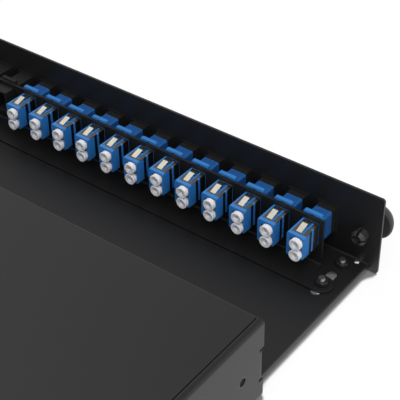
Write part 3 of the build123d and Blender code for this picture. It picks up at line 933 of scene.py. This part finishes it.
@dataclass
class HexNuts:
    """Hexagon nuts with broken edges, in place of their plain solids.

    Attributes:
        node: the nuts' CAD node.
        body: the body that the nuts ride on.
        break_mm: the width of the broken edges.
        break_steps: faces across a broken edge.
        rim_angle: the angle in degrees that an edge has to turn to be broken.
        bore_steps: faces round the bore.
    """

    node: str
    body: Body
    break_mm: float = 0.3
    break_steps: int = 3
    rim_angle: float = 45.0
    bore_steps: int = 24

    def build(self, dresser: Dresser) -> bpy.types.Object:
        """Builds each nut of the node.

        Args:
            dresser: gives the finish.

        Returns:
            The piece.
        """
        shape = bmesh.new()
        for corners in solid_sides(self.node):
            self._nut(shape, corners)
        self._break_edges(shape)
        name = f"{self.node}_bevelled"
        return dresser.add_piece(name, shape, Slot.BLACK_STEEL, self.body, [self.node])

    def _nut(self, shape: BMesh, corners: Sequence[Vector]) -> None:
        """Makes one nut with sharp edges, and its bore.

        Args:
            shape: the bmesh that takes the new faces.
            corners: the corners of the nut's solid.
        """
        low, high = box_of(corners)
        middle = (low + high) / 2
        arms = [(corner - middle).to_2d() for corner in corners]
        bore = min(arm.length for arm in arms)
        longest = max(arms, key=lambda arm: arm.length)
        # A circle's first corner lies on its Y axis, which is turned to a corner of the solid
        turn = Matrix.Rotation(math.atan2(longest.y, longest.x) - math.pi / 2, 4, "Z")
        place = Matrix.Translation((middle.x, middle.y, low.z)) @ turn
        bmesh.ops.create_circle(shape, segments=HEXAGON, radius=longest.length, matrix=place)
        bmesh.ops.create_circle(shape, segments=self.bore_steps, radius=bore, matrix=place)
        outline = [edge for edge in shape.edges if edge.is_wire]
        filled = bmesh.ops.triangle_fill(
            shape, edges=outline, use_beauty=True, normal=(0, 0, -1)
        )["geom"]
        raised = bmesh.ops.extrude_face_region(
            shape, geom=picked(filled, BMFace), use_keep_orig=True
        )["geom"]
        bmesh.ops.translate(shape, vec=(0, 0, high.z - low.z), verts=picked(raised, BMVert))

    def _break_edges(self, shape: BMesh) -> None:
        """Rounds the level edges of all the nuts, outside and at the bore.

        Args:
            shape: the bmesh of the nuts.
        """
        bmesh.ops.recalc_face_normals(shape, faces=shape.faces)
        turned = math.radians(self.rim_angle)
        rims = []
        for edge in shape.edges:
            start, end = edge.verts
            if abs(start.co.z - end.co.z) < NEAR and edge.calc_face_angle(0.0) > turned:
                rims.append(edge)
        bmesh.ops.bevel(
            shape,
            geom=rims,
            offset=self.break_mm * MM,
            offset_type="OFFSET",
            affect="EDGES",
            segments=self.break_steps,
            profile=0.5,
            material=-1,
        )


@dataclass
class WindowEdging:
    """Moulded edging clipped into the fascia's windows, which closes the gap round the plugs.

    Attributes:
        width: the width of a plug in its window, in millimetres.
        height: the height of a plug.
        gap: the room left between the edging and the plug.
        clearance: the room between the window and the plug.
        sheet: the thickness of the fascia.
        stand_off: the room left between the lips and the fascia's faces.
        lip: how far the lips reach over those faces.
        lip_thickness: how far the lips stand out from them.
        weld: the distance within which the section's ends are joined.
    """

    width: float = 9.0
    height: float = 13.05
    gap: float = 0.06
    clearance: float = 0.38
    sheet: float = 1.2
    stand_off: float = 0.02
    lip: float = 0.8
    lip_thickness: float = 0.3
    weld: float = 0.001

    def build(self, dresser: Dresser) -> bpy.types.Object:
        """Builds the edging of every window.

        Args:
            dresser: gives the finish.

        Returns:
            The piece.
        """
        shape = bmesh.new()
        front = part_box("drawer_tray")[0].y
        for number in range(1, LOADED_POSITIONS + 1):
            low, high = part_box(f"adapter_{number}")
            middle = (low + high) / 2
            for side in SIDES:
                self._edge(shape, Vector((side * middle.x, front, middle.z)))
        bmesh.ops.remove_doubles(shape, verts=shape.verts, dist=self.weld * MM)
        return dresser.add_piece("window_edging", shape, Slot.BLANK, Body.DRAWER)

    def section(self) -> list[Point]:
        """Gives the edging's section: a strip in the window, with a lip before and behind.

        Returns:
            Steps outwards from the plug and back from the fascia's front, in millimetres.
        """
        outer = self.clearance + self.lip
        behind = self.sheet + self.stand_off
        return [
            (self.gap, -self.lip_thickness),
            (outer, -self.lip_thickness),
            (outer, -self.stand_off),
            (self.clearance, -self.stand_off),
            (self.clearance, behind),
            (outer, behind),
            (outer, self.sheet + self.lip_thickness),
            (self.gap, self.sheet + self.lip_thickness),
        ]

    def _edge(self, shape: BMesh, seat: Vector) -> None:
        """Carries the section round one window.

        Args:
            shape: the bmesh that takes the new faces.
            seat: the window's middle on the fascia's front, in metres.
        """
        places = []
        for outwards, back in self.section():
            reach = Vector((self.width / 2 + outwards, 1 / MM, self.height / 2 + outwards)) * MM
            shift = Matrix.Translation(seat + Vector((0, back * MM, 0)))
            places.append(shift @ Matrix.Diagonal(reach.to_4d()))
        start = places[0] @ Y_TO_Z
        made = bmesh.ops.create_grid(shape, x_segments=1, y_segments=1, size=1, matrix=start)
        face = made["verts"][0].link_faces[0]
        edges = list(face.edges)
        bmesh.ops.delete(shape, geom=[face], context="FACES_ONLY")
        for before, after in zip(places, places[1:] + places[:1]):
            grown = bmesh.ops.extrude_edge_only(shape, edges=edges)["geom"]
            edges = [edge for edge in picked(grown, BMEdge) if edge.is_boundary]
            step = after @ before.inverted()
            bmesh.ops.transform(shape, matrix=step, verts=picked(grown, BMVert))


@dataclass
class InsertThreads:
    """Cut threads inside the wall inserts, seen through the holes in the side walls.

    Attributes:
        node: the inserts' CAD node.
        bore: the radius of the inserts' bores, in millimetres.
        depth: how far the crests stand into the bore.
        sunk: how far the roots lie under the bore's surface.
        pitch: the advance of one turn.
        lead_in: how far the thread stops short of the insert's mouth.
    """

    node: str = "ear_inserts"
    bore: float = 2.0
    depth: float = 0.3
    sunk: float = 0.02
    pitch: float = 0.7
    lead_in: float = 0.2

    def build(self, dresser: Dresser) -> bpy.types.Object:
        """Winds a thread inside each insert.

        Args:
            dresser: gives the finish.

        Returns:
            The piece.
        """
        low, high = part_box(self.node)
        height = (low.z + high.z) / 2
        flange = (high.z - low.z) / 2
        solid = frame["nodes"][self.node].data
        inner = min(abs(vertex.co.x) for vertex in solid.vertices)
        length = (high.x - inner) / MM - self.lead_in
        thread = Thread(self.bore + self.sunk, self.bore - self.depth, self.pitch, length)
        shape = bmesh.new()
        for side in SIDES:
            turn = Matrix.Rotation(-side * math.pi / 2, 4, "Z")
            for along in (low.y + flange, high.y - flange):
                thread.wind(shape, Matrix.Translation((side * inner, along, height)) @ turn)
        return dresser.add_piece("insert_threads", shape, Slot.BLACK_STEEL, Body.CHASSIS)


@dataclass
class SocketScrews:
    """Button heads with hexagon sockets, in place of the cover screws' plain heads.

    Attributes:
        node: the screws' CAD node.
        count: how many screws there are in the row.
        shank_radius: the radius of the shank, in millimetres.
        head_height: the height of the head.
        head_inset: how far the head stays inside its solid.
        dome_share: the radius of the dome's curve, as a share of the head's.
        dome_angle: the angle that the curve turns, in degrees.
        dome_steps: faces along the curve.
        socket_radius: the radius over the socket's corners.
        socket_depth: the depth of the socket.
        steps: faces round a head.
    """

    node: str = "cover_screws"
    count: int = 3
    shank_radius: float = 1.5
    head_height: float = 1.6
    head_inset: float = 0.02
    dome_share: float = 0.45
    dome_angle: float = 80.0
    dome_steps: int = 5
    socket_radius: float = 1.15
    socket_depth: float = 1.0
    steps: int = 24

    def build(self, dresser: Dresser) -> bpy.types.Object:
        """Builds the screws along the tail of the cover.

        Args:
            dresser: gives the finish.

        Returns:
            The piece.
        """
        low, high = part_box(self.node)
        radius = (high.z - low.z) / 2
        spacing = (high.x - low.x - 2 * radius) / (self.count - 1)
        length = (high.y - low.y) / MM
        shape = bmesh.new()
        for number in range(self.count):
            tip = (low.x + radius + number * spacing, low.y, low.z + radius)
            self._screw(shape, Matrix.Translation(tip), radius / MM, length)
        tips = [edge for edge in shape.edges if edge.is_boundary]
        bmesh.ops.holes_fill(shape, edges=tips, sides=self.steps)
        return dresser.add_piece(
            "cover_socket_screws", shape, Slot.BLACK_STEEL, Body.CHASSIS, [self.node]
        )

    def _screw(self, shape: BMesh, seat: Matrix, radius: float, length: float) -> None:
        """Makes one screw: a domed rim that is bridged to its socket, and the shank.

        Args:
            shape: the bmesh that takes the new faces.
            seat: the place of the shank's tip, with the head along +Y.
            radius: the head's radius in millimetres.
            length: the length over the head.
        """
        under = length - self.head_height
        curve = radius * self.dome_share
        centre = (radius - curve, length - self.head_inset - curve)
        dome = arc(centre, curve, 0, self.dome_angle, self.dome_steps)
        outline = [(self.shank_radius, 0.0), (self.shank_radius, under), (radius, under)] + dome
        ring, edges = draw_section(shape, outline, seat, closed=False)
        spin(shape, ring + edges, seat, self.steps)
        crown = seat @ Matrix.Translation((0, dome[-1][1] * MM, 0))
        height = crown.translation.y
        rim = [
            edge
            for edge in shape.edges
            if edge.is_boundary and all(abs(end.co.y - height) < NEAR for end in edge.verts)
        ]
        corner_reach = self.socket_radius * MM
        bmesh.ops.create_circle(
            shape, segments=HEXAGON, radius=corner_reach, matrix=crown @ Y_TO_Z
        )
        hexagon = [edge for edge in shape.edges if edge.is_wire]
        bmesh.ops.bridge_loops(shape, edges=rim + hexagon)
        sunk = bmesh.ops.extrude_edge_only(shape, edges=hexagon)["geom"]
        down = (0, -self.socket_depth * MM, 0)
        bmesh.ops.translate(shape, vec=down, verts=picked(sunk, BMVert))
        bmesh.ops.contextual_create(shape, geom=picked(sunk, BMEdge))


@dataclass
class Studio:
    """The plain studio round the panel: floor, world, lamps and camera.

    Attributes:
        floor_size: the width of the floor, in metres.
        floor_drop_mm: how far the floor lies under the panel.
        floor_colour: the floor's colour.
        floor_glow: how much of the floor's white is its own, for the camera and for reflections.
        contact_mm: how near an object darkens the floor.
        contact_samples: how many directions that dark is judged by.
        contact_open: the open shares of the sky at which that dark is full and gone.
        contact_white: how much of the floor's white is left where it is full.
        world_level: the strength of the soft light all round.
        ceiling_level: how bright the room shows overhead in reflections, with the horizon at one.
        ceiling_rise: the heights in degrees between which the horizon turns to the ceiling.
        key_watts: the power of the large soft lamp overhead.
        key_size: the width of that lamp, in metres.
        key_place: where it hangs.
        card_watts: the power of the long lamp that shows in the raised tongues of the clips.
        card_size: its width and depth, in metres.
        card_place: where it hangs, facing down.
        focal_px: the camera's focal length in pixels of the photograph.
        photo_px: the photograph's width in pixels.
        clip: the nearest and the furthest that the camera sees, in metres.
        camera_mm: the camera's place.
        azimuth: the camera's bearing in degrees, zero at the front.
        elevation: its height above the horizon, in degrees.
        roll: its tilt in degrees.
    """

    floor_size: float = 12.0
    floor_drop_mm: float = 0.3
    floor_colour: str = "#f4f4f4"
    floor_glow: float = 0.85
    contact_mm: float = 8.0
    contact_samples: int = 64
    contact_open: Point = (0.62, 0.75)
    contact_white: float = 0.1
    world_level: float = 0.72
    ceiling_level: float = 0.28
    ceiling_rise: Point = (15.0, 50.0)
    key_watts: float = 14.5
    key_size: float = 1.2
    key_place: Place = (-0.7, 0.5, 1.3)
    card_watts: float = 1.3
    card_size: Point = (0.9, 0.34)
    card_place: Place = (0.55, -0.31, 1.0)
    focal_px: float = 1128.9
    photo_px: float = 400.0
    clip: Point = (0.01, 50.0)
    camera_mm: Place = (-392.7, 267.6, 353.7)
    azimuth: float = 217.99
    elevation: float = 37.96
    roll: float = -0.97

    def build(self) -> None:
        """Builds the studio in the scene."""
        self._floor()
        self._world()
        self._lamps()
        self._camera()
        bpy.context.scene.view_settings.view_transform = "Standard"

    def _floor(self) -> None:
        """Lays a pale floor that keeps a soft shadow."""
        shape = bmesh.new()
        bmesh.ops.create_grid(shape, x_segments=1, y_segments=1, size=self.floor_size / 2)
        bmesh.ops.translate(shape, vec=(0, 0, -self.floor_drop_mm * MM), verts=shape.verts)
        mesh = take_mesh("studio_floor", shape)
        mesh.materials.append(self._paper())
        floor = put_in_scene("studio_floor", mesh)

    def _paper(self) -> bpy.types.Material:
        """Makes the floor's paper, which shows white but for the shadow near an object.

        Returns:
            The paper.
        """
        material = bpy.data.materials.new("pale_paper_floor")
        tree = empty_tree(material)
        paper = add_node(tree, "ShaderNodeBsdfDiffuse", {"Color": linear(self.floor_colour)})
        free = add_node(
            tree,
            "ShaderNodeAmbientOcclusion",
            {"Distance": self.contact_mm * MM},
            samples=self.contact_samples,
        )
        shaded = remap(tree, free.outputs["AO"], self.contact_open, (self.contact_white, 1.0))
        mirrored = add_node(tree, "ShaderNodeLightPath").outputs["Is Glossy Ray"]
        white = calculate(tree, "MAXIMUM", shaded, mirrored)
        glow = add_node(tree, "ShaderNodeEmission", {"Color": WHITE, "Strength": white})
        share = calculate(tree, "MULTIPLY", shown_rays(tree), self.floor_glow)
        mixed = add_node(
            tree, "ShaderNodeMixShader", {0: share, 1: paper.outputs[0], 2: glow.outputs[0]}
        )
        add_node(tree, "ShaderNodeOutputMaterial", {"Surface": mixed.outputs[0]})
        return material

    def _world(self) -> None:
        """Lights the panel evenly from all round, with white behind it."""
        world = bpy.data.worlds.new("soft_white_room")
        tree = empty_tree(world)
        soft = add_node(
            tree, "ShaderNodeBackground", {"Color": WHITE, "Strength": self.world_level}
        )
        bearing = add_node(tree, "ShaderNodeTexCoord").outputs["Generated"]
        upwards = add_node(tree, "ShaderNodeSeparateXYZ", {0: bearing}).outputs["Z"]
        start, end = (math.sin(math.radians(height)) for height in self.ceiling_rise)
        grade = remap(tree, upwards, (start, end), (1.0, self.ceiling_level))
        room = add_node(tree, "ShaderNodeBackground", {"Color": WHITE, "Strength": grade})
        mixed = add_node(
            tree,
            "ShaderNodeMixShader",
            {0: shown_rays(tree), 1: soft.outputs[0], 2: room.outputs[0]},
        )
        add_node(tree, "ShaderNodeOutputWorld", {"Surface": mixed.outputs[0]})
        bpy.context.scene.world = world

    def _lamps(self) -> None:
        """Hangs one large soft lamp over the panel, and a long weak one over its front."""
        key = bpy.data.lights.new("soft_box", "AREA")
        key.energy = self.key_watts
        key.size = self.key_size
        key_holder = put_in_scene("soft_box", key)
        key_holder.location = self.key_place
        key_holder.rotation_mode = "QUATERNION"
        key_holder.rotation_quaternion = (-Vector(self.key_place)).to_track_quat("-Z", "Y")
        card = bpy.data.lights.new("long_card", "AREA")
        card.energy = self.card_watts
        card.shape = "RECTANGLE"
        card.size, card.size_y = self.card_size
        put_in_scene("long_card", card).location = self.card_place

    def _camera(self) -> None:
        """Sets the camera where the photograph was taken from."""
        lens = bpy.data.cameras.new("photo_camera")
        lens.sensor_fit = "HORIZONTAL"
        lens.lens = lens.sensor_width * self.focal_px / self.photo_px
        lens.clip_start, lens.clip_end = self.clip
        around = math.radians(self.azimuth)
        above = math.radians(self.elevation)
        level = math.cos(above)
        back = Vector((math.sin(around) * level, -math.cos(around) * level, math.sin(above)))
        aim = (-back).to_track_quat("-Z", "Y").to_matrix()
        tilt = Matrix.Rotation(math.radians(self.roll), 3, "Z")
        camera = put_in_scene("photo_camera", lens)
        camera.location = Vector(self.camera_mm) * MM
        camera.rotation_mode = "QUATERNION"
        camera.rotation_quaternion = (aim @ tilt).to_quaternion()
        bpy.context.scene.camera = camera


def main() -> None:
    """Dresses the panel and builds the studio."""
    logging.basicConfig(level=logging.INFO)
    dresser = Dresser(FINISHES)
    dresser.dress_nodes()
    for number in range(1, LOADED_POSITIONS + 1):
        DustCaps(number).build(dresser)
    ThreadedEnds("bracket_bolts", Body.BRACKET).build(dresser)
    ThreadedEnds("earth_stud", Body.DRAWER).build(dresser)
    HexNuts("bracket_nuts", Body.BRACKET).build(dresser)
    HexNuts("earth_nut", Body.DRAWER).build(dresser)
    WindowEdging().build(dresser)
    InsertThreads().build(dresser)
    SocketScrews().build(dresser)
    Studio().build()


if __name__ == "__main__":
    main()
